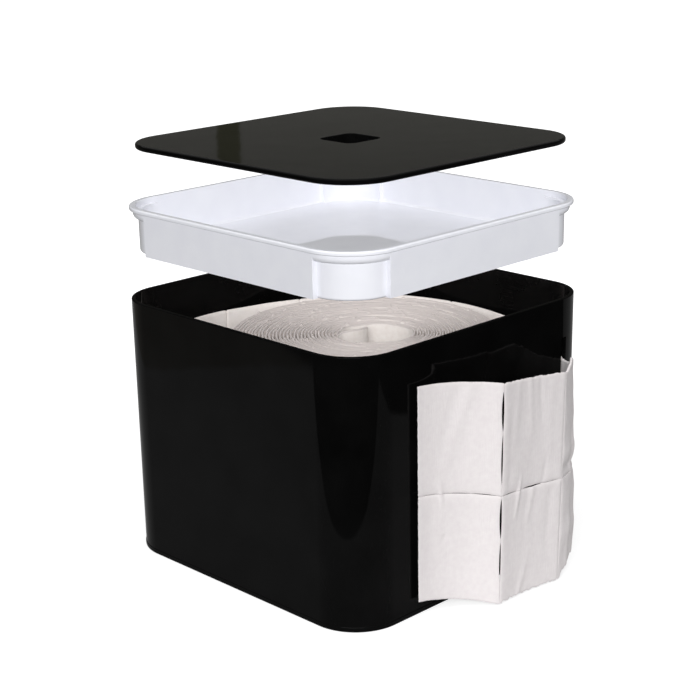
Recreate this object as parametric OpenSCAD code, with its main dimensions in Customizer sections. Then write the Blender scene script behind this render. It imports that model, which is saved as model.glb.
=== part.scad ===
// Nail wipe dispenser: a square box with rounded corners, a lift-out tray,
// a lift-off lid, and a standing roll of perforated cellulose pads whose free
// strip leaves through a slit in the wall.
// The origin is the centre of the underside, +Z is up, and the slit is in
// the -Y wall. The tray and the lid stand lifted off, one above the other.

/* [Pads] */
// Width of one pad, along the strip
pad_w = 40; // [30:1:60]
// Height of one pad
pad_h = 50; // [40:1:70]
// Rows of pads in the strip, one above the other
pad_rows = 2; // [1:1:3]
// Thickness of a pad, all its plies together
pad_t = 1.4; // [0.8:0.1:2]
// Slit that the perforation leaves between two pads
perforation_gap = 0.6; // [0.4:0.1:1.2]

/* [Roll] */
// Air between two turns
winding_gap = 0.475; // [0.45:0.025:1]
// Radius of the hole in the middle of the roll
roll_hole_r = 18; // [14:0.5:26]
// Length of the loose inner end that crosses the hole
inner_end_len = 20; // [12:0.5:24]
// Play between the roll and what stands round it
roll_play = 0.5; // [0.4:0.1:1]

/* [Housing] */
// Width and depth of the box
body_w = 157; // [140:1:175]
// Room between the roll and the wall on each side
side_room = 12.1; // [9:0.1:20]
// Outer radius of the four upright corners
body_r = 23; // [14:0.5:30]
// Thickness of the wall
wall_t = 2; // [1.6:0.1:3]
// Thickness of the base plate
base_t = 2.6; // [2:0.1:5]
// How far the base plate stands proud of the wall
base_proud = 0.25; // [0.1:0.05:1]
// Gap between the base plate and what stands on it
standing_gap = 0.1; // [0.05:0.05:0.4]
// Width of the slit that the strip leaves by
slit_w = 3.6; // [3.4:0.1:3.9]
// Distance from the side face to the middle of the slit
slit_from_side = 21.5; // [18:0.5:28]
// Height of the slit above the strip
slit_head = 1.5; // [0.5:0.1:4]

/* [Tray] */
// Height of the tray from its underside to the top of its lip
tray_h = 21.15; // [16:0.05:40]
// Thickness of the lip that rests on the wall
lip_t = 2; // [1.2:0.1:3]
// How far the lip stands back from the face of the box
lip_back = 0.7; // [0.3:0.1:1.2]
// Outer radius of the corners of the lip
tray_r = 23.8; // [20:0.1:30]
// Height of the band under the lip that locates the tray
band_h = 1.4; // [1:0.1:4]
// Height of the cove from the band in to the corner walls
cove_h = 2.4; // [1:0.1:4]
// Depth of the cove at the corners
cove_in = 2.35; // [1.6:0.05:3]
// Thickness of the flat side panels, which run up to the lip
panel_t = 1.4; // [1.2:0.1:1.6]
// Thickness of the corner walls
tray_t = 1.6; // [1.4:0.1:2.4]
// Thickness of the floor of the tray
tray_floor_t = 2; // [1.4:0.1:3]
// Clearance between the tray and the wall of the box
tray_play = 0.3; // [0.2:0.05:0.6]
// Clearance between the tray and the pads under it
tray_head = 0.65; // [0.4:0.05:3]
// Height that the tray is lifted off its seat
tray_lift = 41; // [2:1:120]

/* [Lid] */
// Thickness of the lid plate
lid_t = 2.6; // [2:0.1:5]
// Radius of the rounded edge of the lid plate
lid_edge = 0.9; // [0.4:0.1:1]
// Clearance between the lid and the rebate of the tray
lid_play = 0.45; // [0.3:0.05:1]
// Radius of the corners of the lid
lid_r = 22.5; // [20:0.5:30]
// Width of the square finger hole
finger_w = 21; // [16:0.5:30]
// Corner radius of the finger hole
finger_r = 4; // [2:0.5:6]
// Wall of the collar round the finger hole
collar_t = 1.8; // [1.2:0.1:3]
// Depth of the collar under the plate
collar_h = 2.6; // [1:0.1:8]
// Height that the lid is lifted off its seat in the tray
lid_lift = 28; // [2:1:120]

/* [Hidden] */
$fn = 96;

// Overrun of every cut past the face that it opens
cut = 1;
// Corner segments of a shape that is drawn round a curve
hull_segments = 48;

// The roll has the turns that fit in the box beside the room round it
winding_pitch = pad_t + winding_gap;
winding_room = body_w / 2 - wall_t - side_room - roll_hole_r - pad_t;
roll_loops = round(winding_room / winding_pitch);
roll_r = roll_hole_r + roll_loops * winding_pitch + pad_t;
strip_h = pad_rows * pad_h;
inner_w = body_w - 2 * wall_t;
inner_r = body_r - wall_t;
stand_z = base_t + standing_gap;
strip_top = stand_z + strip_h;
tray_drop = tray_h - lip_t;
body_h = strip_top + tray_head + tray_drop;

// Where the roll stands in the box, as shares of the room beside it
roll_x_share = 0.52;
roll_y_share = -0.06;
roll_x = roll_x_share * side_room;
roll_y = roll_y_share * side_room;

// Points of the winding: 24 to a turn, clockwise from the inner end
turn_points = 24;
turn_step = 360 / turn_points;
inner_end_angle = 143;
winding_points = roll_loops * turn_points;

// Sizes of the tray, each an inset from the faces of the box. The panels are
// flush with the band outside and with the rim inside. Only the corners stand
// further in, and the lid rests on the ledge that this leaves at each one.
band_in = wall_t + tray_play;
rim_in = band_in + panel_t;
corner_in = band_in + cove_in;
cavity_in = corner_in + tray_t;
panel_half = body_w / 2 - lip_back - tray_r;
tray_top = body_h + lip_t + tray_lift;
rebate_w = body_w - 2 * rim_in;
cavity_z = tray_top - tray_h + tray_floor_t;

// Sizes of the lid
lid_w = rebate_w - 2 * lid_play;
lid_top = tray_top + lid_lift;
lid_under = lid_top - lid_t;

// Folds of the strip outside the slit. Each pad hangs between two folds:
// its heading, its chord as a share of the pad, and its bow as a share of
// the pad, positive towards the box.
slit_x = body_w / 2 - slit_from_side;
slit_mid = [slit_x, wall_t / 2 - body_w / 2];
pad_headings = [219.9, 176.8, 152];
chord_shares = [0.92, 0.97, 0.955];
bow_shares = [-0.11, 0.04, 0.11];
pad_steps = 10;
fold_b = slit_mid + pad_reach(0);
fold_a = fold_b + pad_reach(1);

// Route of the loose outer turn round the roll: a direction from the middle
// of the roll, and a share of the way from the roll (0) to the wall (1)
loose_route_shares = [
    [200, 0], [186, 0], [172, 0.02], [158, 0.1], [146, 0.28], [136, 0.5],
    [128, 0.72], [122, 0.92], [116, 1], [110, 1], [104, 0.92], [97, 0.7],
    [90, 0.47], [84, 0.24], [78, 0.07], [70, 0.01], [56, 0], [42, 0], [30, 0],
    [18, 0], [8, 0.03], [2, 0.14], [-4, 0.36], [-10, 0.47], [-16, 0.53], [-24, 0.5]
];
// How far the last straight run starts in front of the slit, as shares of
// the width of the box
run_up_shares = [0.05, 0.15];
route_steps = 3;
// Keeps a direction along one axis from dividing by zero
least_share = 0.001;

function heading(a) = [cos(a), sin(a)];
function pad_reach(i) = chord_shares[i] * pad_w * heading(pad_headings[i]);

// A point on pad i, u of the way from its first fold to its second
function pad_point(i, start, u) =
    start + u * pad_reach(i)
    + 4 * u * (1 - u) * bow_shares[i] * pad_w * heading(pad_headings[i] - 90);

// How much of a pad's chord the round end and half the perforation take
function end_share(i) =
    (pad_t + perforation_gap) / 2 / (chord_shares[i] * pad_w);

function pad_route(i, start, last_share) = [
    for (k = [0 : pad_steps])
        let (a = end_share(i), u = a + (1 - a - last_share) * k / pad_steps)
            pad_point(i, start, u)
];

// Distance from the middle of the roll to the wall, less the play and half
// a pad, in the direction a
function wall_reach(a) =
    let (
        half = inner_w / 2 - roll_play - pad_t / 2,
        dx = cos(a) > 0 ? half - roll_x : half + roll_x,
        dy = sin(a) > 0 ? half - roll_y : half + roll_y
    )
    min(dx / max(abs(cos(a)), least_share), dy / max(abs(sin(a)), least_share));

function loose_point(a, share) =
    let (near = roll_r + roll_play + pad_t / 2)
    [roll_x, roll_y] + (near + share * (wall_reach(a) - near)) * heading(a);

// A smooth curve through a list of points, as a chain of short steps
function curve_point(p, i, u) =
    let (
        a = p[max(i - 1, 0)],
        b = p[i],
        c = p[i + 1],
        d = p[min(i + 2, len(p) - 1)]
    )
    ((-a + 3 * b - 3 * c + d) * pow(u, 3) + (2 * a - 5 * b + 4 * c - d) * pow(u, 2)
        + (c - a) * u + 2 * b) / 2;

function smooth_curve(p, steps) = concat(
    [for (i = [0 : len(p) - 2]) for (k = [0 : steps - 1]) curve_point(p, i, k / steps)],
    [p[len(p) - 1]]
);

// The edge of a ribbon of thickness t that follows the points p
function side_step(p, i) =
    let (
        along = p[min(i + 1, len(p) - 1)] - p[max(i - 1, 0)]
    )
    [-along[1], along[0]] / norm(along);

function ribbon_edge(p, t) = concat(
    [for (i = [0 : len(p) - 1]) p[i] + side_step(p, i) * t / 2],
    [for (i = [len(p) - 1 : -1 : 0]) p[i] - side_step(p, i) * t / 2]
);

loose_route = smooth_curve(
    concat(
        [for (q = loose_route_shares) loose_point(q[0], q[1])],
        [
            slit_mid + [run_up_shares[0], run_up_shares[1]] * body_w,
            slit_mid + perforation_gap / 2 * heading(pad_headings[0] - 150)
        ]
    ),
    route_steps
);

// The winding: the inside and the outside of the strip at point s
function winding_in(s) =
    (roll_hole_r + winding_pitch * s / turn_points) * heading(inner_end_angle - turn_step * s);
function winding_out(s) =
    (roll_hole_r + pad_t + winding_pitch * s / turn_points)
    * heading(inner_end_angle - turn_step * s);

// Distance from a point to the stretch between two others
function gap_to(p, a, b) =
    let (u = max(0, min(1, (p - a) * (b - a) / ((b - a) * (b - a)))))
    norm(p - a - u * (b - a));

least_winding_gap = min([
    for (s = [0 : winding_points - turn_points - 1])
        gap_to(winding_out(s), winding_in(s + turn_points), winding_in(s + turn_points + 1))
]);
echo(least_winding_gap = least_winding_gap);

// A block with four round upright corners, standing on z = 0
module rounded_block(w, r, h) {
    flat = w - 2 * r;
    translate([-w / 2, -flat / 2, 0])
        cube([w, flat, h]);
    translate([-flat / 2, -w / 2, 0])
        cube([flat, w, h]);
    for (sx = [-1, 1], sy = [-1, 1])
        translate([sx * flat / 2, sy * flat / 2, 0])
            cylinder(r = r, h = h);
}

// A block with the corners of the tray, inset from the faces of the box
module tray_block(inset, h) {
    rounded_block(body_w - 2 * inset, tray_r + lip_back - inset, h);
}

// The same block where its inset changes on the way up
module tapered_block(low_inset, high_inset, h) {
    sliver = h / 100;
    hull() {
        tray_block(low_inset, sliver, $fn = hull_segments);
        translate([0, 0, h - sliver])
            tray_block(high_inset, sliver, $fn = hull_segments);
    }
}

module ribbon(p, h) {
    linear_extrude(height = h)
        polygon(ribbon_edge(p, pad_t));
}

module housing_shell() {
    color([0.05, 0.05, 0.05])
        difference() {
            translate([0, 0, base_t])
                rounded_block(body_w, body_r, body_h - base_t);
            translate([0, 0, base_t - cut])
                rounded_block(inner_w, inner_r, body_h - base_t + 2 * cut);
            translate([slit_x - slit_w / 2, -body_w / 2 - cut, base_t - cut])
                cube([slit_w, body_r / 2 + cut, strip_top + slit_head - base_t + cut]);
        }
}

module base_plate() {
    color([0.05, 0.05, 0.05])
        rounded_block(body_w + 2 * base_proud, body_r + base_proud, base_t);
}

module side_panels(inset, half, z, h) {
    reach = body_w - 2 * inset;
    translate([-reach / 2, -half, z])
        cube([reach, 2 * half, h]);
    translate([-half, -reach / 2, z])
        cube([2 * half, reach, h]);
}

module tray_outside() {
    wall_h = tray_h - lip_t - band_h - cove_h;
    tray_z = tray_top - tray_h;
    translate([0, 0, tray_top - lip_t])
        tray_block(lip_back, lip_t);
    translate([0, 0, tray_z + wall_h + cove_h])
        tray_block(band_in, band_h + lip_t / 2);
    translate([0, 0, tray_z + wall_h])
        tapered_block(corner_in, band_in, cove_h);
    translate([0, 0, tray_z])
        tray_block(corner_in, tray_h - lip_t / 2);
    side_panels(band_in, panel_half, tray_z, tray_h - lip_t / 2);
}

module tray() {
    color([0.88, 0.89, 0.92])
        difference() {
            tray_outside();
            translate([0, 0, tray_top - lid_t])
                tray_block(rim_in, lid_t + cut);
            translate([0, 0, cavity_z])
                tray_block(cavity_in, tray_h);
            side_panels(rim_in, panel_half - tray_t, cavity_z, tray_h);
        }
}

module lid_plate() {
    hull() {
        translate([0, 0, lid_under])
            rounded_block(lid_w - 2 * lid_edge, lid_r - lid_edge, lid_t, $fn = hull_segments);
        translate([0, 0, lid_under + lid_edge])
            rounded_block(lid_w, lid_r, lid_t - 2 * lid_edge, $fn = hull_segments);
    }
}

module lid() {
    color([0.06, 0.06, 0.06])
        difference() {
            union() {
                lid_plate();
                translate([0, 0, lid_under - collar_h])
                    rounded_block(finger_w + 2 * collar_t, finger_r + collar_t, collar_h + lid_t / 2);
            }
            translate([0, 0, lid_under - collar_h - cut])
                rounded_block(finger_w, finger_r, collar_h + lid_t + 2 * cut);
        }
}

module roll() {
    inside = [for (s = [0 : winding_points]) winding_in(s)];
    outside = [for (s = [winding_points : -1 : 0]) winding_out(s)];
    start = (roll_hole_r + pad_t / 2) * heading(inner_end_angle);
    color([0.86, 0.84, 0.82])
        translate([roll_x, roll_y, stand_z]) {
            linear_extrude(height = strip_h)
                polygon(concat(inside, outside));
            ribbon([start, start + [inner_end_len / 2, -pad_t], start + [inner_end_len, -pad_t]],
                strip_h);
        }
}

module loose_strip() {
    color([0.9, 0.88, 0.87])
        translate([0, 0, stand_z])
            ribbon(loose_route, strip_h);
}

// One pad of the strip outside the slit, in row 0 (lower) or up
module pad(i, start, last_share, row) {
    route = pad_route(i, start, last_share);
    h = pad_h - perforation_gap / 2;
    color([0.91, 0.9, 0.89])
        translate([0, 0, stand_z + row * (pad_h + perforation_gap / 2)]) {
            ribbon(route, h);
            for (p = [route[0], route[pad_steps]])
                translate(p)
                    cylinder(d = pad_t, h = h, $fn = hull_segments);
        }
}

upper = pad_rows - 1;

module slot_pad_upper() {
    pad(0, slit_mid, end_share(0), upper);
}

module slot_pad_lower() {
    pad(0, slit_mid, end_share(0), 0);
}

module middle_pad_upper() {
    pad(1, fold_b, end_share(1), upper);
}

module middle_pad_lower() {
    pad(1, fold_b, end_share(1), 0);
}

module end_pad_upper() {
    pad(2, fold_a, 0, upper);
}

module end_pad_lower() {
    pad(2, fold_a, 0, 0);
}

housing_shell();
base_plate();
tray();
lid();
roll();
loose_strip();
slot_pad_upper();
slot_pad_lower();
middle_pad_upper();
middle_pad_lower();
end_pad_upper();
end_pad_lower();
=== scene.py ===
import bisect
import math

import bmesh
import bpy
from mathutils import Matrix, Vector, noise


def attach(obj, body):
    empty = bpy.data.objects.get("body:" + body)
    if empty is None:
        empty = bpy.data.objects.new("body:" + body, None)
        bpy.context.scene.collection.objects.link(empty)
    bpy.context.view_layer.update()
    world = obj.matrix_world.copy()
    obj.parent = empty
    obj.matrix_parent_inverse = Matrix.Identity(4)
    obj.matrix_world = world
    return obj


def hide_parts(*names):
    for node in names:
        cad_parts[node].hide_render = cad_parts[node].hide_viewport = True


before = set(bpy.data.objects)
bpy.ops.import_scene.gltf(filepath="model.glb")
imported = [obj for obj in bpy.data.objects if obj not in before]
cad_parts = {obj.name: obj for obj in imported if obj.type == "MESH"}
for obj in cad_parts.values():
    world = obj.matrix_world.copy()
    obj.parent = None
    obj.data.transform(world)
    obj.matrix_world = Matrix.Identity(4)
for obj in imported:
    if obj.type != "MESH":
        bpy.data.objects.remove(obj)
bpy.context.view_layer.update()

# One millimetre in metres
MM = 0.001

# Sizes, in mm
BODY_W = 157.0
BODY_H = 122.5
BODY_R = 23.0
WALL_T = 2.0
BASE_T = 2.6
BASE_PROUD = 0.25
# What the strip of pads stands on
STAND_Z = 2.7
SLIT_X = 57.0
SLIT_W = 3.6
SLIT_TOP = 104.2

# Each inset of the tray is from the faces of the box, where its corners
# would have the radius TRAY_R
TRAY_H = 21.15
TRAY_R = 24.5
LIP_T = 2.0
LIP_BACK = 0.7
BAND_IN = 2.3
BAND_H = 1.4
COVE_H = 2.4
RIM_IN = 3.7
CORNER_IN = 4.65
CAVITY_IN = 6.25
CORNER_T = 1.6
TRAY_FLOOR_T = 2.0
# How far the tray hovers over the box, and the lid over the tray
TRAY_RAISED, LID_RAISED = 41.0, 28.0
TRAY_TOP = BODY_H + LIP_T + TRAY_RAISED

LID_W = 148.7
LID_R = 22.5
LID_T = 2.6
LID_TOP = TRAY_TOP + LID_RAISED
# The play under the tray's lip and under the lid when each is on its seat
SEAT_PLAY = 0.04
FINGER_W = 21.0
FINGER_R = 4.0
COLLAR_H = 2.6
COLLAR_T = 1.8

ROLL_X, ROLL_Y = 6.292, -0.726
ROLL_R = 64.4
STRIP_H = 100.0
PAD_W = 40.0
PAD_H = 50.0
PAD_T = 1.4

# Steps round each quarter turn of a moulding
CORNER_STEPS = 28


# Camera
def add_camera():
    """The photograph's camera, from a fit to the box's edges."""
    azimuth, elevation, roll = map(math.radians, (-44.82, 19.33, -0.89))
    back = Vector((
        math.sin(azimuth) * math.cos(elevation),
        -math.cos(azimuth) * math.cos(elevation),
        math.sin(elevation),
    ))
    distance, target_z, lens = 764.76, 61.25, 83.295
    shift = (-0.00646, 0.0977)
    bpy.ops.object.camera_add(location=(back * distance + Vector((0, 0, target_z))) * MM)
    camera = bpy.context.object
    turn = (-back).to_track_quat("-Z", "Y").to_matrix() @ Matrix.Rotation(roll, 3, "Z")
    camera.rotation_euler = turn.to_euler()
    camera.data.lens = lens
    camera.data.sensor_width = 36
    camera.data.shift_x, camera.data.shift_y = shift
    camera.data.clip_start = 0.01
    camera.data.clip_end = 30
    bpy.context.scene.camera = camera


add_camera()


# Materials
def colour(hex_code):
    """An sRGB hex colour as linear RGBA."""
    parts = [int(hex_code[i:i + 2], 16) / 255 for i in (1, 3, 5)]
    linear = [p / 12.92 if p <= 0.04045 else ((p + 0.055) / 1.055) ** 2.4 for p in parts]
    return (*linear, 1.0)


def new_material(name, **values):
    """A new material, and its shader with these values."""
    material = bpy.data.materials.new(name)
    material.use_nodes = True
    shader = material.node_tree.nodes["Principled BSDF"]
    for key, value in values.items():
        shader.inputs[key.replace("_", " ")].default_value = value
    return material, shader


def node(material, kind, settings=None, **links):
    """Add a node, set its properties and values, and link its inputs."""
    tree = material.node_tree
    made = tree.nodes.new(kind)
    for key, value in (settings or {}).items():
        if isinstance(key, int) or key in made.inputs:
            made.inputs[key].default_value = value
        else:
            setattr(made, key, value)
    for key, source in links.items():
        tree.links.new(source, made.inputs[key.replace("_", " ")])
    return made


def link(material, source, target):
    material.node_tree.links.new(source, target)


def maths(material, operation, *values):
    """The result of a maths node. Each value is a number or a socket."""
    made = node(material, "ShaderNodeMath", {"operation": operation})
    for index, value in enumerate(values):
        if isinstance(value, float):
            made.inputs[index].default_value = value
        else:
            link(material, value, made.inputs[index])
    return made.outputs["Value"]


def texture(material, place, scale, detail):
    """A noise texture, with about so many features to the metre."""
    made = node(material, "ShaderNodeTexNoise", {"Scale": scale, "Detail": detail}, Vector=place)
    return made.outputs["Fac"]


def relief(material, height, strength, distance, **under):
    """The normal of a relief, over another where under says Normal=it."""
    made = node(material, "ShaderNodeBump", {"Strength": strength, "Distance": distance},
                Height=height, **under)
    return made.outputs["Normal"]


def remap(material, value, old, new=(0.0, 1.0)):
    """A value taken from the old range to the new one."""
    made = node(material, "ShaderNodeMapRange", {
        "From Min": old[0], "From Max": old[1], "To Min": new[0], "To Max": new[1]}, Value=value)
    return made.outputs["Result"]


def ramp(material, source, stops):
    """The colour for a source from 0 to 1, with stops of (place, hex)."""
    made = node(material, "ShaderNodeValToRGB", None, Fac=source)
    elements = made.color_ramp.elements
    for index, (place, code) in enumerate(stops):
        element = elements[index] if index < 2 else elements.new(place)
        element.position = place
        element.color = colour(code)
    return made.outputs["Color"]


def polished_black_abs(name, gloss):
    """Injection-moulded black ABS: near black, with a gloss that a very
    shallow moulding ripple bends, and a faint haze. Real ABS would mirror
    more than the gloss given here: see below."""
    material, shader = new_material(name, IOR=1.5, Specular_IOR_Level=gloss)
    place = node(material, "ShaderNodeTexCoord").outputs["Object"]
    ripple = relief(material, texture(material, place, 38.0, 1.5), 0.05, 0.002)
    grain = relief(material, texture(material, place, 2600.0, 2.0), 0.03, 0.0001, Normal=ripple)
    link(material, grain, shader.inputs["Normal"])
    haze = texture(material, place, 55.0, 4.0)
    tone = ramp(material, haze, [(0.3, "#060606"), (0.75, "#0b0b0b")])
    link(material, tone, shader.inputs["Base Color"])
    link(material, remap(material, haze, (0.3, 0.8), (0.025, 0.055)), shader.inputs["Roughness"])
    return material


def polished_white_abs(name, roughness):
    """Injection-moulded white ABS: a cool white with a clean gloss. The
    tray's floor is given less roughness than its walls, because it mirrors
    in the photograph and they only shine."""
    material, shader = new_material(name, IOR=1.5)
    place = node(material, "ShaderNodeTexCoord").outputs["Object"]
    ripple = relief(material, texture(material, place, 45.0, 1.0), 0.06, 0.001)
    link(material, ripple, shader.inputs["Normal"])
    haze = texture(material, place, 90.0, 3.0)
    tone = ramp(material, haze, [(0.3, "#eeeff6"), (0.75, "#f2f3f9")])
    link(material, tone, shader.inputs["Base Color"])
    link(material, remap(material, haze, (0.3, 0.8), (roughness, roughness + 0.03)),
         shader.inputs["Roughness"])
    return material


def cellulose_wadding(name, light, shade, painted_edge_shade):
    """Bleached cellulose wadding, plies of creped tissue: matt, with fine
    crepe ribs along the pad's height and loose fibres on top of them.
    The crepe's noise is about 0.5 mm wide and the fibres' 0.3 mm. The last
    0.9 mm under the strip's cut upper edge turns darker, as in the photograph:
    this is painted shade, which on the roll stands for the shade down between
    the tops of the turns."""
    material, shader = new_material(name, Roughness=0.95, Specular_IOR_Level=0.2,
                                    Sheen_Weight=0.12, Sheen_Roughness=0.6)
    along = node(material, "ShaderNodeUVMap", {"uv_map": "strip"}).outputs["UV"]
    ribs = node(material, "ShaderNodeMapping", {"Scale": (2000.0, 160.0, 1.0)},
                Vector=along).outputs["Vector"]
    crepe = relief(material, texture(material, ribs, 1.0, 3.0), 0.35, 0.00025)
    place = node(material, "ShaderNodeTexCoord").outputs["Object"]
    fibre = relief(material, texture(material, place, 3300.0, 3.0), 0.3, 0.0001, Normal=crepe)
    link(material, fibre, shader.inputs["Normal"])
    tone = ramp(material, texture(material, place, 420.0, 4.0), [(0.3, shade), (0.7, light)])
    # painted shade: from 0.9 to 0.3 mm under the cut upper edge, the colour blends to the darker
    # edge colour
    height = node(material, "ShaderNodeSeparateXYZ", None, Vector=along).outputs["Y"]
    edge_shade_mix = node(material, "ShaderNodeMix", {"data_type": "RGBA", 7: colour(painted_edge_shade)})
    link(material, remap(material, height, (0.0991, 0.0997)), edge_shade_mix.inputs[0])
    link(material, tone, edge_shade_mix.inputs[6])
    link(material, edge_shade_mix.outputs[2], shader.inputs["Base Color"])
    return material


# The gloss levels were chosen by comparing renders with the photograph, and
# so were the shades of the wadding, which is one material in reality: the
# three wadding materials below are lighter and darker copies of it, and the
# differences between them are painted light and shade
BLACK_ABS = polished_black_abs("polished_black_abs", 0.06)
RIM_ABS = polished_black_abs("polished_black_abs_rim", 0.005)
LID_ABS = polished_black_abs("polished_black_abs_lid", 0.035)
WHITE_ABS = polished_white_abs("polished_white_abs", 0.11)
TRAY_FLOOR_ABS = polished_white_abs("polished_white_abs_floor", 0.03)
WADDING = cellulose_wadding("cellulose_wadding", "#ece7e7", "#e7e1e2", "#e4dede")
ROLL_WADDING = cellulose_wadding("cellulose_wadding_roll", "#f3eeea", "#ebe4df", "#d3cbc8")
LOOSE_WADDING = cellulose_wadding("cellulose_wadding_loose", "#faf5f2", "#f4eeea", "#efe8e4")


# Modelling
def start_edit():
    bpy.ops.object.mode_set(mode="EDIT")
    bpy.ops.mesh.select_mode(type="VERT")
    bpy.ops.mesh.select_all(action="DESELECT")


def end_edit():
    bpy.ops.object.mode_set(mode="OBJECT")


def edit_mesh():
    return bmesh.from_edit_mesh(bpy.context.object.data)


def pick(kind, test):
    """Select the vertices, edges or faces of the edited mesh that pass."""
    bpy.ops.mesh.select_mode(type={"verts": "VERT", "edges": "EDGE", "faces": "FACE"}[kind])
    bpy.ops.mesh.select_all(action="DESELECT")
    mesh = edit_mesh()
    for item in getattr(mesh, kind):
        if test(item):
            item.select_set(True)
    mesh.select_flush_mode()
    bmesh.update_edit_mesh(bpy.context.object.data)


def section_line(points, name):
    """A new object whose mesh is one open line through points, grown from a
    single vertex of a plane by extruding it."""
    bpy.ops.object.select_all(action="DESELECT")
    bpy.ops.mesh.primitive_plane_add(size=1, location=(0, 0, 0))
    piece = bpy.context.object
    piece.name = name
    start_edit()
    bpy.ops.mesh.select_all(action="SELECT")
    bpy.ops.mesh.merge(type="CENTER")
    bpy.ops.transform.translate(value=points[0])
    for before, after in zip(points, points[1:]):
        bpy.ops.mesh.extrude_vertices_move(TRANSFORM_OT_translate={"value": after - before})
    return piece


def swept_square(name, section, half, radius):
    """Sweep a section round a square with round corners. The section is a
    list of (inset, z) in mm; half and radius are the outline's, in mm.
    Leaves the new piece in edit mode."""
    flat = half - radius
    points = [Vector((half - inset, -flat, z)) * MM for inset, z in section]
    piece = section_line(points, name)
    bpy.ops.mesh.select_mode(type="VERT")
    bpy.ops.mesh.select_all(action="SELECT")
    for side in range(4):
        angle = side * math.pi / 2
        run = Vector((-math.sin(angle), math.cos(angle), 0)) * 2 * flat * MM
        centre = Matrix.Rotation(angle, 3, "Z") @ (Vector((flat, flat, 0)) * MM)
        bpy.ops.mesh.extrude_region_move(TRANSFORM_OT_translate={"value": run})
        bpy.ops.mesh.spin(steps=CORNER_STEPS, angle=-math.pi / 2, center=centre, axis=(0, 0, 1))
    bpy.ops.mesh.select_all(action="SELECT")
    bpy.ops.mesh.remove_doubles(threshold=1e-6)
    return piece


def fill_level(z, inset_limit):
    """Fill the level loop at height z, in mm, that lies inside the limit."""
    def on_loop(edge):
        return edge.is_boundary and all(
            abs(v.co.z - z * MM) < 1e-6 and max(abs(v.co.x), abs(v.co.y)) < inset_limit * MM
            for v in edge.verts
        )
    pick("edges", on_loop)
    bpy.ops.mesh.edge_face_add()


def arc_points(centre, radius, start, end, steps):
    """Points of an arc in a section, angles in degrees."""
    return [
        (centre[0] + radius * math.cos(math.radians(start + (end - start) * k / steps)),
         centre[1] + radius * math.sin(math.radians(start + (end - start) * k / steps)))
        for k in range(steps + 1)
    ]


def choose(piece):
    """Make a piece the active one, and the only one that is selected."""
    bpy.ops.object.select_all(action="DESELECT")
    piece.select_set(True)
    bpy.context.view_layer.objects.active = piece


def apply_modifier(piece, kind, name, **settings):
    """Give a piece a modifier with these settings, and apply it."""
    modifier = piece.modifiers.new(name, kind)
    for key, value in settings.items():
        setattr(modifier, key, value)
    choose(piece)
    bpy.ops.object.modifier_apply(modifier=name)


def combine(piece, other, operation):
    """Join or cut a piece with another, which is then removed."""
    apply_modifier(piece, "BOOLEAN", "combined", operation=operation, object=other,
                   solver="EXACT")
    bpy.data.objects.remove(other)


def soften_edges(piece, width, segments):
    """Round a piece's sharp edges; width is in mm."""
    apply_modifier(piece, "BEVEL", "soft_edges", width=width * MM, segments=segments,
                   limit_method="ANGLE", angle_limit=math.radians(50))


def finish_piece(piece, material, body, smooth):
    """Shade a moulding, smooth up to so many degrees, and say what it is."""
    choose(piece)
    bpy.ops.object.transform_apply(location=True, rotation=True, scale=True)
    bpy.ops.object.shade_smooth_by_angle(angle=math.radians(smooth))
    apply_modifier(piece, "WEIGHTED_NORMAL", "flat_faces_stay_flat", keep_sharp=True)
    piece.data.materials.clear()
    piece.data.materials.append(material)
    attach(piece, body)
    return piece


def paint_faces(piece, material, test):
    """Give the faces that pass the test a material of their own."""
    piece.data.materials.append(material)
    start_edit()
    pick("faces", test)
    piece.active_material_index = len(piece.data.materials) - 1
    bpy.ops.object.material_slot_assign()
    end_edit()


def make_outward():
    """Weld the edited mesh and turn its faces outward."""
    bpy.ops.mesh.select_all(action="SELECT")
    bpy.ops.mesh.remove_doubles(threshold=1e-6)
    bpy.ops.mesh.normals_make_consistent(inside=False)


def make_housing():
    """The box's wall: a rim with small round edges and a slit for the strip."""
    edge = 0.35
    rim_depth = 0.2
    section = (
        [(0, BASE_T)]
        + arc_points((edge, BODY_H - edge), edge, 180, 90, 4)
        + arc_points((WALL_T - edge, BODY_H - edge), edge, 90, 0, 4)
        + [(WALL_T, BASE_T)]
    )
    section.append(section[0])
    piece = swept_square("box_wall", section, BODY_W / 2, BODY_R)
    make_outward()
    end_edit()
    bpy.ops.object.select_all(action="DESELECT")
    # the cutter starts below the wall, and its middle is inside the box
    height, depth, inside = SLIT_TOP - BASE_T + 4, 14, 5
    bpy.ops.mesh.primitive_cube_add(size=1, location=(
        SLIT_X * MM, (-BODY_W / 2 + inside) * MM, (SLIT_TOP - height / 2) * MM))
    cutter = bpy.context.object
    cutter.scale = (SLIT_W * MM, depth * MM, height * MM)
    bpy.ops.object.transform_apply(location=True, rotation=True, scale=True)
    combine(piece, cutter, "DIFFERENCE")
    finish_piece(piece, BLACK_ABS, "box", smooth=30)
    paint_faces(piece, RIM_ABS,
                lambda face: face.calc_center_median().z > (BODY_H - rim_depth) * MM)
    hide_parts("housing_shell")


def make_base():
    """The base plate, a hair proud of the wall, with a rounded lower edge."""
    half = BODY_W / 2 + BASE_PROUD
    lower_edge, upper_edge, ledge = 1.0, 0.3, 6
    section = (
        arc_points((lower_edge, lower_edge), lower_edge, 270, 180, 5)
        + arc_points((upper_edge, BASE_T - upper_edge), upper_edge, 180, 90, 3)
        + [(WALL_T + ledge, BASE_T)]
    )
    piece = swept_square("base", section, half, BODY_R + BASE_PROUD)
    fill_level(0, half)
    fill_level(BASE_T, half)
    make_outward()
    end_edit()
    finish_piece(piece, BLACK_ABS, "box", smooth=30)
    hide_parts("base_plate")


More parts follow.
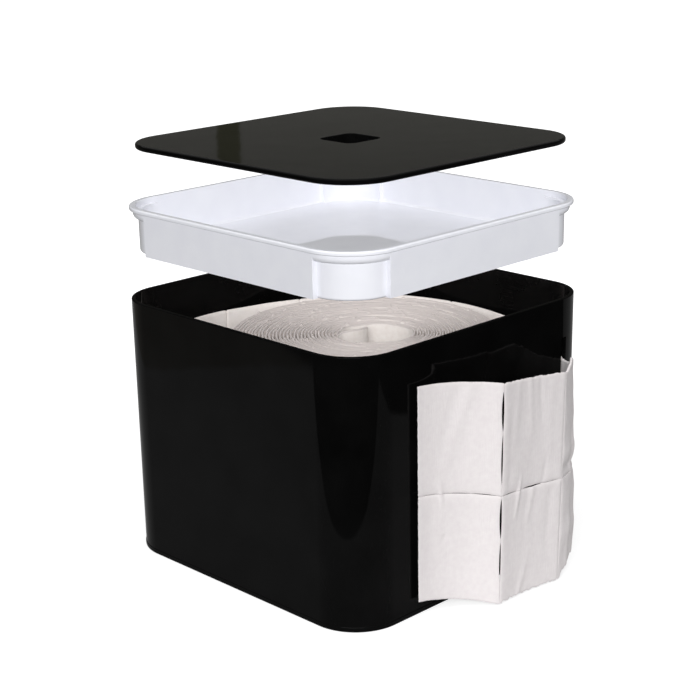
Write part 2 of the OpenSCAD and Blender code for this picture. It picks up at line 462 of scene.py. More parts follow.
def make_tray():
    """The tray: lip, locating band, flat side panels flush with them, and
    corners that stand further in and leave the ledges that carry the lid."""
    top, under = TRAY_TOP, TRAY_TOP - TRAY_H
    floor = under + TRAY_FLOOR_T
    half = BODY_W / 2
    flat = half - TRAY_R
    lip_under = top - LIP_T + SEAT_PLAY
    band_low = top - LIP_T - BAND_H
    foot_edge, lip_bevel, lip_edge, rim_edge, well_edge = 1.2, 0.4, 0.8, 0.4, 1.5
    outer = (
        arc_points((CORNER_IN + foot_edge, under + foot_edge), foot_edge, 270, 180, 4)
        + [(CORNER_IN - (CORNER_IN - BAND_IN) * math.sin(math.pi * k / 12),
            band_low - COVE_H * math.cos(math.pi * k / 12)) for k in range(7)]
        + [(BAND_IN, lip_under), (LIP_BACK + lip_bevel, lip_under),
           (LIP_BACK, lip_under + lip_bevel)]
        + arc_points((LIP_BACK + lip_edge, top - lip_edge), lip_edge, 180, 90, 4)
        + arc_points((RIM_IN - rim_edge, top - rim_edge), rim_edge, 90, 0, 3)
        + [(RIM_IN, top - LID_T)]
    )
    inner = (
        [(CAVITY_IN, top - LID_T), (CAVITY_IN, floor + well_edge)]
        + arc_points((CAVITY_IN + well_edge, floor + well_edge), well_edge, 180, 270, 4)[1:]
    )
    points = [Vector((half - inset, flat, z)) * MM for inset, z in outer + inner]
    piece = section_line(points, "tray_moulding")
    bpy.ops.mesh.select_mode(type="VERT")
    bpy.ops.mesh.select_all(action="SELECT")
    bpy.ops.mesh.spin(steps=CORNER_STEPS, angle=-math.pi / 2,
                      center=Vector((flat, flat, 0)) * MM, axis=(0, 0, 1))
    for out, on in (((0, 1, 0), (-1, 0, 0)), ((1, 0, 0), (0, -1, 0))):
        out, on = Vector(out), Vector(on)

        def double_section(reach):
            """Extrude the section that lies reach mm from the middle of the
            side, in place, and say which vertices are the new ones."""
            pick("verts", lambda v: abs(v.co.dot(on) + reach * MM) < 1e-6
                 and v.co.dot(out) > (flat + 3) * MM)
            bpy.ops.mesh.extrude_region_move(TRANSFORM_OT_translate={"value": (0, 0, 0)})
            mesh = edit_mesh()
            mesh.verts.index_update()
            return {v.index for v in mesh.verts if v.select}

        # the outer wall steps out, flush with the band
        fresh = double_section(flat)
        pick("verts", lambda v: v.index in fresh and v.co.z < (band_low - 0.01) * MM
             and half - v.co.dot(out) / MM < CAVITY_IN - 0.01)
        bpy.ops.transform.resize(value=[1.0 - abs(value) for value in out],
                                 center_override=out * (half - BAND_IN) * MM)
        pick("verts", lambda v: v.index in fresh)
        bpy.ops.mesh.extrude_region_move(TRANSFORM_OT_translate={"value": on * CORNER_T * MM})
        # and one wall further on the inner wall does too, flush with the rim
        fresh = double_section(flat - CORNER_T)
        pick("verts", lambda v: v.index in fresh
             and half - v.co.dot(out) / MM > CAVITY_IN - 0.01)
        bpy.ops.transform.translate(value=out * (CAVITY_IN - RIM_IN) * MM)
        pick("verts", lambda v: v.index in fresh)
        bpy.ops.mesh.extrude_region_move(
            TRANSFORM_OT_translate={"value": on * (flat - CORNER_T) * MM})
    bpy.ops.mesh.select_all(action="SELECT")
    for _ in range(3):
        bpy.ops.mesh.duplicate()
        bpy.ops.transform.rotate(value=math.pi / 2, orient_axis="Z", center_override=(0, 0, 0))
    bpy.ops.mesh.select_all(action="SELECT")
    bpy.ops.mesh.remove_doubles(threshold=2e-6)
    fill_level(under, BODY_W)
    fill_level(floor, BODY_W / 2)
    make_outward()
    end_edit()
    soften_edges(piece, width=0.3, segments=2)
    finish_piece(piece, WHITE_ABS, "tray", smooth=30)
    paint_faces(piece, TRAY_FLOOR_ABS, lambda face: (
        face.normal.z > 0.95 and abs(face.calc_center_median().z - floor * MM) < 0.3 * MM))
    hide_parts("tray")


def round_block(name, half, radius, low, high):
    """A closed block with four round upright corners."""
    piece = swept_square(name, [(0, low), (0, high)], half, radius)
    fill_level(low, half * 2)
    fill_level(high, half * 2)
    make_outward()
    end_edit()
    return piece


def make_lid():
    """The lid: a flat plate with rounded edges, and a square finger hole
    with a short collar under it."""
    edge = 1.0
    top, under = LID_TOP, LID_TOP - LID_T + SEAT_PLAY
    section = (
        arc_points((edge, under + edge), edge, 270, 180, 5)
        + arc_points((edge, top - edge), edge, 180, 90, 5)
    )
    piece = swept_square("lid_plate", section, LID_W / 2, LID_R)
    fill_level(top, LID_W)
    fill_level(under, LID_W)
    make_outward()
    end_edit()
    half = FINGER_W / 2
    combine(piece, round_block("collar", half + COLLAR_T, FINGER_R + COLLAR_T,
                               under - COLLAR_H, under + 1), "UNION")
    combine(piece, round_block("finger_hole", half, FINGER_R, under - COLLAR_H - 1, top + 1),
            "DIFFERENCE")
    soften_edges(piece, width=0.4, segments=3)
    finish_piece(piece, LID_ABS, "lid", smooth=40)
    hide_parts("lid")


make_housing()
make_base()
make_tray()
make_lid()


# The strip of pads
def heading(angle):
    """The unit vector at an angle in degrees."""
    return Vector((math.cos(math.radians(angle)), math.sin(math.radians(angle))))


def smooth_curve(points, steps):
    """A Catmull-Rom curve through points."""
    made = []
    last = len(points) - 1
    for i in range(last):
        a, b, c, d = points[max(i - 1, 0)], points[i], points[i + 1], points[min(i + 2, last)]
        for k in range(steps):
            u = k / steps
            made.append(((-a + 3 * b - 3 * c + d) * u ** 3 + (2 * a - 5 * b + 4 * c - d) * u ** 2
                         + (c - a) * u + 2 * b) / 2)
    made.append(points[last])
    return made


def distances(points):
    """How far along a route each of its points lies."""
    made = [0.0]
    for a, b in zip(points, points[1:]):
        made.append(made[-1] + (b - a).length)
    return made


def stations(length, cuts, coarse, fine):
    """Distances along a strip: coarse steps, and fine ones at each cut."""
    made = [0.0]
    while made[-1] < length - fine / 2:
        ahead = min((abs(cut - made[-1]) for cut in cuts if cut > made[-1] - 3 * fine),
                    default=length)
        step = fine if ahead < 3.5 * fine else min(coarse, ahead - 3 * fine)
        made.append(min(made[-1] + step, length))
    return made


def places_at(points, wanted):
    """The points of a route that lie at the wanted distances along it."""
    lengths = distances(points)
    made, i = [], 0
    for want in wanted:
        while i < len(points) - 2 and lengths[i + 1] < want:
            i += 1
        span = lengths[i + 1] - lengths[i]
        made.append(points[i].lerp(points[i + 1], (want - lengths[i]) / span if span else 0))
    return made


def side_steps(points):
    """The unit vector to the left of the route at each point."""
    made = []
    last = len(points) - 1
    for i in range(last + 1):
        along = points[min(i + 1, last)] - points[max(i - 1, 0)]
        made.append(Vector((-along.y, along.x)).normalized())
    return made


def sheet_mesh(name, columns, levels, point):
    """A closed sheet, columns by levels cells. point(i, j, side) gives a
    corner's place in mm, and its place on the flat strip in mm; side is 1
    for one face of the sheet and -1 for the other."""
    verts, flat, faces = [], [], []
    wide = columns + 1
    for side in (1, -1):
        for j in range(levels + 1):
            for i in range(wide):
                place, on_strip = point(i, j, side)
                verts.append([value * MM for value in place])
                flat.append([value * MM for value in on_strip])
    back = wide * (levels + 1)
    for j in range(levels):
        for i in range(columns):
            a = j * wide + i
            faces.append((a, a + 1, a + wide + 1, a + wide))
            faces.append((back + a + 1, back + a, back + a + wide, back + a + wide + 1))
    for i in range(columns):
        a = levels * wide + i
        faces.append((a, a + 1, back + a + 1, back + a))
        faces.append((i + 1, i, back + i, back + i + 1))
    for j in range(levels):
        a, b = j * wide, j * wide + columns
        faces.append((a, a + wide, back + a + wide, back + a))
        faces.append((b + wide, b, back + b, back + b + wide))
    mesh = bpy.data.meshes.new(name)
    mesh.from_pydata(verts, [], faces)
    layer = mesh.uv_layers.new(name="strip")
    for loop in mesh.loops:
        layer.data[loop.index].uv = flat[loop.vertex_index]
    tool = bmesh.new()
    tool.from_mesh(mesh)
    bmesh.ops.recalc_face_normals(tool, faces=tool.faces)
    tool.to_mesh(mesh)
    tool.free()
    piece = bpy.data.objects.new(name, mesh)
    bpy.context.collection.objects.link(piece)
    return piece


def ribbon(name, points, along, heights, thickness, lean=None):
    """An upright strip. along is each point's distance along it, and heights
    gives each row's height as a function of that distance; thickness and
    lean are functions of the distance and the row."""
    sides = side_steps(points)

    def point(i, j, side):
        s = along[i]
        z = heights[j](s)
        shift = lean(s, j) if lean else 0.0
        p = points[i] + sides[i] * (side * thickness(s, j) / 2 + shift)
        return (p.x, p.y, z), (s, z - heights[-1](s) + STRIP_H)

    return sheet_mesh(name, len(points) - 1, len(heights) - 1, point)


def finish_wadding(piece, material, body, smooth=50):
    """Shade a sheet of wadding, and say what it is and what holds it."""
    choose(piece)
    bpy.ops.object.shade_smooth_by_angle(angle=math.radians(smooth))
    piece.data.materials.append(material)
    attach(piece, body)


def wave(s, z, scale, seed):
    """A soft random value, about -1 to 1, over the strip."""
    return noise.noise(Vector((s / scale, z / scale, seed)))


# The winding runs clockwise from its inner end. Its hole is narrower towards
# the camera than across, and stands off the middle
ROLL_TURNS = 31
INNER_ANGLE = 143
HOLE_X, HOLE_Y = 8.9, -5.4
HOLE_ACROSS, HOLE_DEEP = 17.2, 15.0
# The loose inner end: from its free edge to where it joins the first turn
FLAP = [(14.4, 5.2), (12.4, 3.9), (9.8, 3.2), (7.0, 3.4), (4.2, 4.2), (1.4, 5.4), (-1.4, 7.0)]
# How far its middle stands above the winding
FLAP_RISE = 1.3
# How far each pad's corners stand up beside a perforation, at most
TUFT_H = 2.2
# The strip stays under the closed tray, which leaves this much above it
HEAD_ROOM = 0.58
# How softly the strip's tops bend away under that limit
HEAD_KNEE = 0.35
# The cut tops of the winding's pads: how far one stands over the next, how
# far each waves and is frayed, and where they stand on the whole
CUT_STEP, CUT_WAVE, CUT_FRAY, CUT_LEVEL = 1.0, 0.5, 0.2, -0.2
# The width of a raised corner, how many rise and how unlike they are
TUFT_W, TUFT_SHARE, TUFT_SPREAD = 1.3, 0.4, 1.6
# The winding's upper rows: how far below the top, and the share of the
# strip's thickness there. From the second on, each leans further than the last
TOP_ROWS = [(6.0, 1.0), (4.4, 0.66), (0.4, 0.6), (0.1, 0.46), (0.0, 0.25)]
TOP_LEAN = 0.16
# From the flap's root to the roll's first perforation
FIRST_CUT = 11.0
# A turn is at most this thick, and leaves this much to its neighbours
TURN_T, TURN_PLAY = 1.6, 0.04


def winding_place(turn):
    """The middle of the strip, so many turns out from the inner end."""
    out = turn / ROLL_TURNS
    middle = Vector((HOLE_X, HOLE_Y)).lerp(Vector((ROLL_X, ROLL_Y)), out)
    across = (HOLE_ACROSS + PAD_T / 2) * (1 - out) + (ROLL_R - PAD_T / 2) * out
    deep = (HOLE_DEEP + PAD_T / 2) * (1 - out) + (ROLL_R - PAD_T / 2) * out
    angle = INNER_ANGLE - 360 * turn
    return (middle + heading(-45) * across * math.cos(math.radians(angle + 45))
            + heading(45) * deep * math.sin(math.radians(angle + 45)))


def make_roll():
    """The roll: one strip, from its loose inner end out to its last turn."""
    steps = 120
    turns = [k / steps for k in range(ROLL_TURNS * steps + 1)]
    flap = smooth_curve([Vector(place) for place in FLAP], steps=3)
    points = flap + [winding_place(turn) for turn in turns]
    lengths = distances(points)
    length = lengths[-1]
    joined = len(flap)
    cuts = [lengths[joined] + FIRST_CUT + PAD_W * k for k in range(-1, int(length / PAD_W) + 1)]
    along = stations(length, cuts, coarse=2.3, fine=0.5)
    room = []
    for index in range(len(points)):
        turn = max(0.0, (index - joined) / steps)
        other = turn + 1 if turn + 1 <= ROLL_TURNS else turn - 1
        room.append((winding_place(other) - winding_place(turn)).length - TURN_PLAY)

    def turn_thickness(s):
        """As thick as the strip's neighbours at s leave room for."""
        i = min(bisect.bisect_left(lengths, s), len(room) - 1)
        return min(room[i], TURN_T)

    def near_cut(s):
        return abs((s - cuts[0] + PAD_W / 2) % PAD_W - PAD_W / 2)

    def top(s):
        pad = int((s - cuts[0]) // PAD_W)
        corner = int((s - cuts[0] + PAD_W / 2) // PAD_W)
        lift = CUT_LEVEL + CUT_STEP * noise.noise(Vector((pad * 3.1, 0.5, 2.0)))
        lift += CUT_WAVE * wave(s, 0, scale=12.0, seed=6.0)
        lift += CUT_FRAY * wave(s, 0, scale=3.0, seed=3.0)
        lift += FLAP_RISE * math.sin(math.pi * min(1.0, s / lengths[joined])) ** 0.6
        spread = TUFT_SPREAD * noise.noise(Vector((corner * 1.7, 4.0, 8.0)))
        chance = max(0.0, min(1.0, TUFT_SHARE + spread))
        tuft = TUFT_H * chance * max(0.0, 1 - near_cut(s) / TUFT_W)
        short = HEAD_ROOM - lift - tuft
        sunk = HEAD_KNEE * math.log(1 + math.exp(short / HEAD_KNEE))
        return STAND_Z + STRIP_H + HEAD_ROOM - sunk

    heights = [lambda s: STAND_Z, lambda s: STAND_Z + PAD_H]
    heights += [lambda s, drop=drop: top(s) - drop for drop, share in TOP_ROWS]
    shares = [1.0, 1.0] + [share for drop, share in TOP_ROWS]

    def thickness(s, row):
        return turn_thickness(s) * shares[row]

    def lean(s, row):
        return TOP_LEAN * wave(s, 0, scale=7.0, seed=11.0) * max(row - 2, 0)

    piece = ribbon("pad_winding", places_at(points, along), along, heights, thickness, lean)
    finish_wadding(piece, ROLL_WADDING, "roll")
    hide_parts("roll")


# The loose turn's way round the roll: at each angle in degrees, the share of
# the way from the roll to the box's wall
LOOSE_SHARES = [
    (200, 0), (186, 0), (172, 0.02), (158, 0.1), (146, 0.28), (136, 0.5),
    (128, 0.72), (122, 0.92), (116, 1), (110, 1), (104, 0.92), (97, 0.7),
    (90, 0.47), (84, 0.24), (78, 0.07), (70, 0.01), (56, 0), (42, 0), (30, 0),
    (18, 0), (8, 0.03), (2, 0.14), (-4, 0.36), (-10, 0.47), (-16, 0.53), (-24, 0.5),
]
# Where one of the perforations stands in the loose turn
LOOSE_SEAM = Vector((-12.9, 74.1))
# The loose turn's top: how far it stands up and waves, how deep its notches
# are, and how far it sinks towards the slit, and over which length
LOOSE_LIFT, LOOSE_WAVE, LOOSE_NOTCH = 0.35, 0.25, 0.35
LOOSE_SINK, LOOSE_SINK_LENGTH = 9, 26
# The share of the thickness that a perforation of it loses, and how wide the
# notch and the crushed line are
LOOSE_CRUSH = 0.75
LOOSE_NOTCH_W, LOOSE_CRUSH_W = 0.5, 0.45


def loose_route():
    """The loose outer turn's route, the same as its solid's."""
    play = 0.5
    near = ROLL_R + play + PAD_T / 2
    half = BODY_W / 2 - WALL_T - play - PAD_T / 2
    middle = Vector((ROLL_X, ROLL_Y))
    points = []
    for angle, share in LOOSE_SHARES:
        d = heading(angle)
        dx = half - ROLL_X if d.x > 0 else half + ROLL_X
        dy = half - ROLL_Y if d.y > 0 else half + ROLL_Y
        reach = min(dx / max(abs(d.x), 0.001), dy / max(abs(d.y), 0.001))
        points.append(middle + d * (near + share * (reach - near)))
    # the last stretch bends back to the slit and ends inside it
    slit = Vector((SLIT_X, WALL_T / 2 - BODY_W / 2))
    points.append(slit + Vector((0.05, 0.15)) * BODY_W)
    points.append(slit + heading(69.9) * 0.3)
    return smooth_curve(points, steps=12)


def make_loose_strip():
    """The loose outer turn, from the roll to the slit."""
    points = loose_route()
    lengths = distances(points)
    length = lengths[-1]
    seam = min(zip(points, lengths), key=lambda pair: (pair[0] - LOOSE_SEAM).length)[1]
    cuts = [seam + PAD_W * k for k in range(-3, 7)]
    along = stations(length, cuts, coarse=1.6, fine=0.35)

    def near_cut(s):
        return min(abs(s - cut) for cut in cuts)

    def top(s):
        sunk = max(0.0, min(1.0, 1 - (length - s) / LOOSE_SINK_LENGTH)) ** 2
        return (STAND_Z + STRIP_H + LOOSE_LIFT + LOOSE_WAVE * wave(s, 0, scale=30.0, seed=1.0)
                - LOOSE_NOTCH * math.exp(-(near_cut(s) / LOOSE_NOTCH_W) ** 2) - LOOSE_SINK * sunk)

    # rows close to the perforation between the two rows of pads, even ones
    # above it, and close ones again at the cut top
    middle = STAND_Z + PAD_H
    close, above, below_top = 0.6, 4, 2
    heights = [lambda s: STAND_Z, lambda s: middle - close, lambda s: middle,
               lambda s: middle + close]
    foot = middle + above
    heights += [lambda s, k=k: foot + (top(s) - below_top - foot) * k / 5 for k in range(6)]
    heights += [lambda s, drop=drop: top(s) - drop for drop in (0.5, 0.12, 0.0)]
    shares = [1.0, 1.0, 0.35] + [1.0] * (len(heights) - 5) + [0.75, 0.4]

    def thickness(s, row):
        crushed = LOOSE_CRUSH * math.exp(-(near_cut(s) / LOOSE_CRUSH_W) ** 2)
        return PAD_T * shares[row] * (1 - crushed)

    piece = ribbon("loose_turn", places_at(points, along), along, heights, thickness)
    finish_wadding(piece, LOOSE_WADDING, "box")
    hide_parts("loose_strip")


# The strip outside the slit hangs in three pads. Its top and its underside
# in the slit, at the two folds and at the free end, in mm
FOLDS = [
    ((57.0, -77.5, 94.0), (57.0, -77.5, 0.5)),
    ((29.6, -101.1, 99.0), (27.2, -101.4, 0.45)),
    ((-9.6, -98.9, 102.8), (-10.5, -98.9, 0.8)),
    ((-43.7, -81.0, 105.5), (-43.1, -81.0, 7.5)),
]
# How far each pad bows towards the box, at its underside and at its top
BOWS = [(-6.6, -3.8), (1.4, 1.4), (4.6, 4.3)]
# How sharply each bows: 2 is a plain arc, and less keeps straighter sides
BOW_SHAPES = [1.35, 2.0, 2.0]
# Where the perforation at each fold has opened: from and to, in mm above the
# strip's underside, and how far each edge draws back there. The first and the
# last are the slit and the free end
OPENINGS = [
    [],
    [(3, 48, 0.1), (53, 97, 0.12)],
    [(10, 29, 0.42), (30.4, 48.9, 0.6), (54.8, 77.8, 0.42), (78.7, 96.6, 0.62)],
    [],
]
# Where the perforation between the two rows has opened, from and to along the
# pad, and how far. It holds at one bridge in each pad, about 28 mm along
ROW_OPENINGS = [
    [(3, 26, 0.1), (29, 38, 0.1)],
    [(1, 12, 0.06), (12.5, 25, 0.3), (29.5, 39, 0.12)],
    [(2, 13, 0.1), (13.5, 27, 0.08), (29, 39, 0.04)],
]
# Soft creases in each pad: from and to, each a distance along the pad and a
# height on the strip, then the width and how far it stands out
CREASES = [
    [((8, 20), (10, 46), 2.2, 0.7), ((19, 2), (16, 40), 2.6, -0.6),
     ((26, 54), (23, 98), 2.4, 0.8), ((13, 60), (15, 92), 2.0, -0.7),
     ((33, 6), (31, 44), 2.0, 0.5), ((28, 50), (27, 62), 1.0, 0.5)],
    [((22, 100), (20.5, 72), 1.7, 0.35), ((15.5, 100), (14.2, 78), 1.6, -0.3),
     ((29.5, 99), (32, 70), 2.0, 0.25), ((8, 96), (9, 60), 2.6, 0.2),
     ((28, 50), (30.5, 37), 1.1, 0.55), ((28, 50), (26.5, 58), 0.9, 0.45),
     ((18.5, 49), (22.5, 32), 1.6, 0.4), ((27, 1), (20, 20), 1.7, 0.35),
     ((12, 52), (10, 64), 1.4, -0.3), ((7, 45), (9, 15), 2.4, -0.3),
     ((35, 55), (34, 90), 2.2, -0.25)],
    [((13.4, 100), (26.4, 60), 2.6, 0.35), ((28, 50), (28.5, 57), 0.9, 0.45),
     ((28, 50), (27.5, 43), 0.9, 0.45), ((26, 30), (26.5, 31), 1.6, -0.35),
     ((20, 96), (31, 64), 2.8, -0.25), ((8, 6), (14, 40), 3.2, 0.25),
     ((33, 44), (35, 12), 3.0, -0.25)],
]
# How far the free edges of each pad are torn, and how uneven its sheet is
FRAYED = (2.4, 1.3, 0.2)
SOFTNESS = (1.6, 0.5, 0.45)
# Half the slit that a perforation leaves
CUT_HALF = 0.07
# Creases straight across the pad in the slit: height, width and reach
SLOT_CREASES = [(54, 2.5, -1.1), (62, 4, 0.7), (22, 6, 0.6)]
# How much of that pad is torn off below, at the slit, and how far its top
# rises at a share of its width
SLOT_TEAR = 8.5
SLOT_PEAK, SLOT_PEAK_AT, SLOT_PEAK_WIDTH = 4.5, 0.62, 0.2
# The share of the thickness that a torn and a cut edge lose, over which
# distance, the least that stays, and the least height above the table
TORN_CRUSH, TORN_FADE = 0.75, 0.9
CUT_CRUSH, CUT_FADE = 0.45, 0.3
THINNEST = 0.12
PAD_FOOT = 0.3
# Creases fade to nothing within about this distance from a fold
FOLD_FADE = 2.5
# Stands for an edge that isn't there
NO_EDGE = 99


def opened(place, spans):
    """How far a perforated edge has drawn back at this place along it."""
    for low, high, reach in spans:
        if low < place < high:
            return reach * math.sin(math.pi * (place - low) / (high - low)) ** 0.7
    return 0.0


def creased(index, along, height):
    """How far a pad's creases stand out at a point of it."""
    total = 0.0
    here = Vector((along, height))
    for start, end, width, reach in CREASES[index]:
        start, way = Vector(start), Vector(end) - Vector(start)
        share = max(0.0, min(1.0, (here - start).dot(way) / way.length_squared))
        off = (here - start - way * share).length / width
        total += reach * (1 - share) ** 0.5 * math.exp(-off * off)
    return total


def ragged(along, seed, reach):
    """The torn fibres of an edge, coarse and fine together."""
    return reach * (0.5 * noise.noise(Vector((along / 2.2, seed, 0.3)))
                    + 0.7 * noise.noise(Vector((along / 0.8, seed, 7.7))))


def make_pad(name, index, row, body):
    """One pad of the strip: a soft sheet between two folds, crushed thin at
    its perforated edges and torn a little at its free ones."""
    first, last = FOLDS[index], FOLDS[index + 1]
    columns, levels = 84, 76
    free_end = index == 2
    frayed, softness = FRAYED[index], SOFTNESS[index]

    def surface(along, height):
        """A point of the strip's middle, and the way out from the box."""
        u, v = along / PAD_W, height / (2 * PAD_H)
        a = Vector(first[1]).lerp(Vector(first[0]), v)
        b = Vector(last[1]).lerp(Vector(last[0]), v)
        way = b - a
        inward = Vector((way.y, -way.x, 0)).normalized()
        if inward.y < 0:
            inward = -inward
        low_bow, high_bow = BOWS[index]
        bow = low_bow + (high_bow - low_bow) * v
        out = creased(index, along, height)
        on_strip = along + index * PAD_W
        out += softness * 0.5 * wave(on_strip, height * 0.5, scale=13.0, seed=21.0)
        out += softness * 0.16 * wave(on_strip, height * 0.6, scale=4.5, seed=5.0)
        if index == 0:
            for level, width, reach in SLOT_CREASES:
                out += reach * math.exp(-((height - level) / width) ** 2)
        to_fold = min(along, NO_EDGE if free_end else PAD_W - along)
        fade = 1 - math.exp(-max(0.0, to_fold) / FOLD_FADE)
        curve = bow * (1 - abs(2 * u - 1) ** BOW_SHAPES[index])
        return a + way * u + inward * (curve - out * fade), inward

    def point(i, j, side):
        uu = 0.5 - 0.5 * math.cos(math.pi * i / columns)
        vv = 0.5 - 0.5 * math.cos(math.pi * j / levels)
        rough_height = row * PAD_H + vv * PAD_H
        start = CUT_HALF + opened(rough_height, OPENINGS[index])
        end = PAD_W - (ragged(rough_height, 3.0, 0.25) if free_end
                       else CUT_HALF + opened(rough_height, OPENINGS[index + 1]))
        along = start + (end - start) * uu
        gap = CUT_HALF + opened(along, ROW_OPENINGS[index])
        on_strip = along + index * PAD_W
        low, high = (PAD_H + gap, 2 * PAD_H) if row else (0.0, PAD_H - gap)
        if row == 0:
            low += max(0.0, 0.5 * frayed + ragged(on_strip, 5.0, frayed))
            if index == 0:
                low += SLOT_TEAR * (1 - uu ** 3)
        else:
            high -= max(0.0, 0.15 * frayed + ragged(on_strip, 9.0, 0.4 * frayed))
            if index == 0:
                high += SLOT_PEAK * math.exp(-((uu - SLOT_PEAK_AT) / SLOT_PEAK_WIDTH) ** 2)
        height = low + (high - low) * vv
        torn = min(along - start, NO_EDGE if free_end else end - along,
                   height - low if row else high - height)
        cut = min(NO_EDGE if row else height - low, high - height if row else NO_EDGE,
                  end - along if free_end else NO_EDGE)
        full = 1 - TORN_CRUSH * math.exp(-torn / TORN_FADE) - CUT_CRUSH * math.exp(-cut / CUT_FADE)
        middle, inward = surface(along, height)
        place = middle - inward * (side * PAD_T / 2 * max(full, THINNEST))
        place.z = max(place.z, PAD_FOOT)
        return place, (on_strip, height)

    piece = sheet_mesh(name, columns, levels, point)
    finish_wadding(piece, WADDING, body,
                   smooth=60)
    return piece


make_roll()
make_loose_strip()
for pad_index, (pad_word, pad_body) in enumerate(
        [("slot_pad", "box"), ("middle_pad", "middle_pads"), ("end_pad", "end_pads")]):
    for pad_row, row_word in enumerate(("lower", "upper")):
        made_pad = make_pad(f"{pad_word}_{row_word}_wadding", pad_index, pad_row, pad_body)
        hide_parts(f"{pad_word}_{row_word}")


# Floor and light

# Strength of the sky as a light; the camera sees it at 1, which is white
SKY_LIGHT = 0.3
# What the camera sees the floor give off by itself, so that the lit floor
# reads as white and only the shadow on it darkens
FLOOR_GLOW = 0.7
# How far the pale table reaches from the middle, in metres: towards the
# camera, and to its left and right. Its front edge is not square to the
# camera, and past RIGHT_END along its right side it is pale again
TABLE_FRONT, TABLE_LEFT, TABLE_RIGHT = 0.207, 0.388, 0.295
FRONT_SLANT = 0.32
RIGHT_END = 0.05
# Where the floor's glow starts to rise to 1, and where it gets there, metres
GLOW_FROM, GLOW_TO = 0.12, 0.5
SCREEN_COLOUR = "#b4b3ac"
# Bays of the screen that are olive, in degrees round from +X
OLIVE_COLOUR = "#80806a"
OLIVE_BAYS = ((50.1, 50.8), (51.6, 51.9))


def make_floor():
    """The pale table and the darker floor past its edges, in one plane."""
    bpy.ops.object.select_all(action="DESELECT")
    bpy.ops.mesh.primitive_plane_add(size=12, location=(0, 0, 0))
    floor = bpy.context.object
    floor.name = "studio_floor"
    material, shader = new_material("pale_floor", Roughness=0.95, Specular_IOR_Level=0.0)
    path = node(material, "ShaderNodeLightPath")
    place = node(material, "ShaderNodeTexCoord").outputs["Object"]
    away = node(material, "ShaderNodeVectorMath", {"operation": "LENGTH"}, Vector=place)
    reach = remap(material, away.outputs["Value"], (GLOW_FROM, GLOW_TO), (FLOOR_GLOW, 1.0))
    # the table is pale only so far round the set, and black plastic mirrors
    # its dark edge in front of the box's corner
    turned = node(material, "ShaderNodeMapping", {"Rotation": (0, 0, math.radians(45))},
                  Vector=place)
    split = node(material, "ShaderNodeSeparateXYZ", None, Vector=turned.outputs["Vector"])
    x, y = split.outputs["X"], split.outputs["Y"]
    slanted = maths(material, "MULTIPLY_ADD", x, FRONT_SLANT, y)
    front = maths(material, "GREATER_THAN", slanted, -TABLE_FRONT)
    # past the left edge the floor takes the middle tone of the ramp below
    left = remap(material, x, (-TABLE_LEFT - 0.002, -TABLE_LEFT), (0.5, 1.0))
    right = maths(material, "MAXIMUM", maths(material, "LESS_THAN", x, TABLE_RIGHT),
                  maths(material, "GREATER_THAN", y, RIGHT_END))
    table = maths(material, "MULTIPLY", maths(material, "MULTIPLY", left, right), front)
    tones = ramp(material, table, [(0.1, "#383838"), (0.5, "#a8a49c"), (0.9, "#c4c4c4")])
    link(material, tones, shader.inputs["Base Color"])
    full = maths(material, "MAXIMUM", reach, maths(material, "LESS_THAN", table, 0.9))
    seen = maths(material, "MAXIMUM", path.outputs["Is Camera Ray"],
                 path.outputs["Is Transmission Ray"])
    glow = node(material, "ShaderNodeEmission", {"Color": (1, 1, 1, 1)},
                Strength=maths(material, "MULTIPLY", seen, full))
    both = node(material, "ShaderNodeAddShader")
    link(material, shader.outputs["BSDF"], both.inputs[0])
    link(material, glow.outputs["Emission"], both.inputs[1])
    link(material, both.outputs["Shader"],
         material.node_tree.nodes["Material Output"].inputs["Surface"])
    floor.data.materials.append(material)


def make_sky():
    """A plain white sky."""
    world = bpy.data.worlds.new("studio")
    bpy.context.scene.world = world
    world.use_nodes = True
    sky = world.node_tree.nodes["Background"]
    sky.inputs["Color"].default_value = (1, 1, 1, 1)
    path = node(world, "ShaderNodeLightPath")
    mirrored = maths(world, "MAXIMUM", path.outputs["Is Glossy Ray"],
                     path.outputs["Is Transmission Ray"])
    seen = maths(world, "MAXIMUM", path.outputs["Is Camera Ray"], mirrored)
    link(world, remap(world, seen, (0.0, 1.0), (SKY_LIGHT, 1.0)), sky.inputs["Strength"])


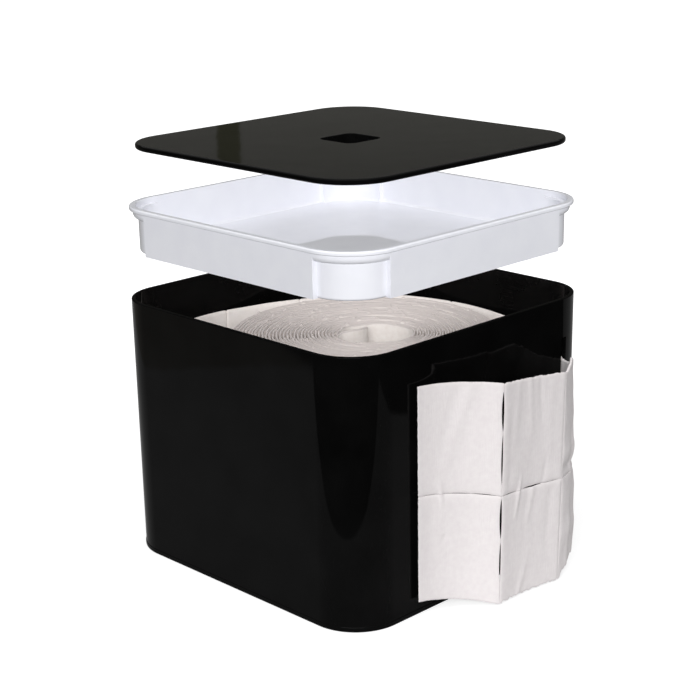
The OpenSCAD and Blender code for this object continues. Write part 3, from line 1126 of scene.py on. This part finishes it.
def make_dark_screen():
    """A low dark screen right round the set, which only polished surfaces
    see: black plastic mirrors it at a slant, so that it reads as black."""
    bpy.ops.object.select_all(action="DESELECT")
    bpy.ops.mesh.primitive_cylinder_add(vertices=360, radius=3, depth=1.7, end_fill_type="NOTHING",
                                        location=(0, 0, 0.9))
    screen = bpy.context.object
    screen.name = "dark_screen"
    felts = [
        new_material(name, Base_Color=colour(code), Roughness=1.0, Specular_IOR_Level=0.0)[0]
        for name, code in (("dark_felt", SCREEN_COLOUR), ("olive_felt", OLIVE_COLOUR))
    ]
    screen.data.materials.append(felts[0])

    def in_bay(face):
        place = face.calc_center_median()
        degrees = math.degrees(math.atan2(place.y, place.x))
        return any(low < degrees < high for low, high in OLIVE_BAYS)

    paint_faces(screen, felts[1], in_bay)
    screen.visible_camera = False
    screen.visible_diffuse = False
    screen.visible_shadow = False
    screen.visible_transmission = False


def add_lamp(name, place, target, size, power):
    """A soft box at a place, aimed at a target, with its size, all in mm,
    and its power in watts."""
    bpy.ops.object.light_add(type="AREA", location=Vector(place) * MM)
    lamp = bpy.context.object
    lamp.name = name
    lamp.data.shape = "RECTANGLE"
    lamp.data.size, lamp.data.size_y = size[0] * MM, size[1] * MM
    lamp.data.energy = power
    aim = Vector(target) * MM - lamp.location
    lamp.rotation_euler = aim.to_track_quat("-Z", "Y").to_euler()
    return lamp


make_floor()
make_sky()
make_dark_screen()
front = add_lamp("front_softbox", (-1201, -905, 720),
                 target=(0, 0, 110), size=(1300, 700), power=20.3)
apart_front = add_lamp("front_softbox_apart", (-1026, -1100, 720),
                       target=(0, 0, 110), size=(1300, 700), power=21.8)
apart_front.visible_glossy = False
top = add_lamp("top_softbox", (-250, -250, 1500),
               target=(0, 0, 80), size=(1400, 1400), power=8.5)
# In the photograph the lid and the tray look lit apart from the box, so they
# have a front light of their own, and they hold back no lamp's light
for lamp, receivers in ((front, "EXCLUDE"), (apart_front, "INCLUDE"), (top, None)):
    for part, state in (("receiver", receivers), ("blocker", "EXCLUDE")):
        if state is None:
            continue
        held = bpy.data.collections.new(f"{lamp.name}_{part}")
        setattr(lamp.light_linking, f"{part}_collection", held)
        for piece_name in ("lid_plate", "tray_moulding"):
            held.objects.link(bpy.data.objects[piece_name])
        for item in held.collection_objects:
            item.light_linking.link_state = state

bpy.context.scene.view_settings.view_transform = "Standard"
